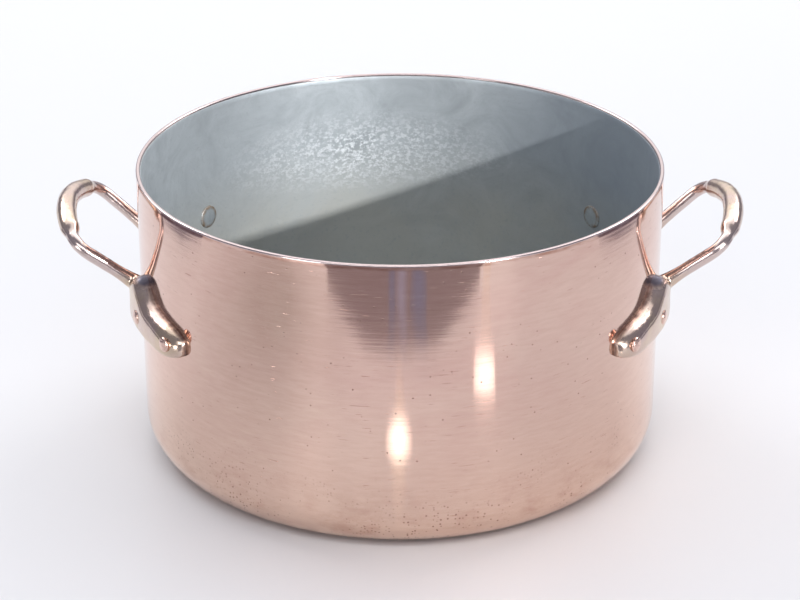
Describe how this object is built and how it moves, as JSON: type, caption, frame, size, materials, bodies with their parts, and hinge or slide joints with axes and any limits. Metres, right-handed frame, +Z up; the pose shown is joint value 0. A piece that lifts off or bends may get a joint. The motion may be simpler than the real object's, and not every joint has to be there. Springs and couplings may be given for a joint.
{
  "type": "two-handled stewpot",
  "caption": "Deep straight-sided copper stewpot with a rounded base corner, a tinned inside and two riveted cast bronze loop handles. No lid.",
  "frame": {"origin": "centre of the pot's flat bottom, on the surface it stands on", "axes": "+Z up along the pot's axis, +X through the middle of the right handle's grip, +Y away from the side that faces the viewer"},
  "size_m": [0.4202, 0.3228, 0.182],
  "materials": {
    "copper": "polished copper, softly mirror-bright, with fine polishing lines and small pits near the base",
    "tin": "matte wiped tin, mottled blue-grey",
    "bronze": "polished cast bronze",
    "rivet_copper": "polished copper, tinned over on the heads inside the pot"
  },
  "bodies": {
    "root": {"pot_body": "copper", "tin_lining": "tin", "left_handle": "bronze", "right_handle": "bronze", "left_front_inner_rivet": "rivet_copper", "left_front_outer_rivet": "rivet_copper", "left_back_inner_rivet": "rivet_copper", "left_back_outer_rivet": "rivet_copper", "right_front_inner_rivet": "rivet_copper", "right_front_outer_rivet": "rivet_copper", "right_back_inner_rivet": "rivet_copper", "right_back_outer_rivet": "rivet_copper"}
  },
  "joints": []
}
